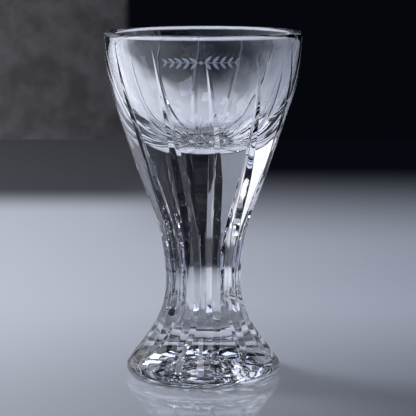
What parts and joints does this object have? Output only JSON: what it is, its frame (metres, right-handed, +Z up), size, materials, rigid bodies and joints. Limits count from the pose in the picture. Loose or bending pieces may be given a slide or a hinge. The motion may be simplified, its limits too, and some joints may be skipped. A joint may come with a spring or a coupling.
{
  "type": "shot glass",
  "caption": "Footed shot glass of clear cut crystal: a flared cup on a solid waisted stem and a round foot, with long mitre-cut flutes and a frosted garland on the front, below the rim.",
  "frame": {"origin": "centre of the foot, on the surface that the glass stands on", "axes": "+Z up along the glass's axis; -Y is the front, where the frosted decoration is"},
  "size_m": [0.056, 0.0562, 0.0981],
  "materials": {
    "crystal": "clear, fire-polished, with sharp cut flutes",
    "frost": "frosted white, matt and slightly see-through, like etching"
  },
  "bodies": {
    "root": {"bowl": "crystal", "stem": "crystal", "foot": "crystal", "frosted_garland": "frost"}
  },
  "joints": []
}
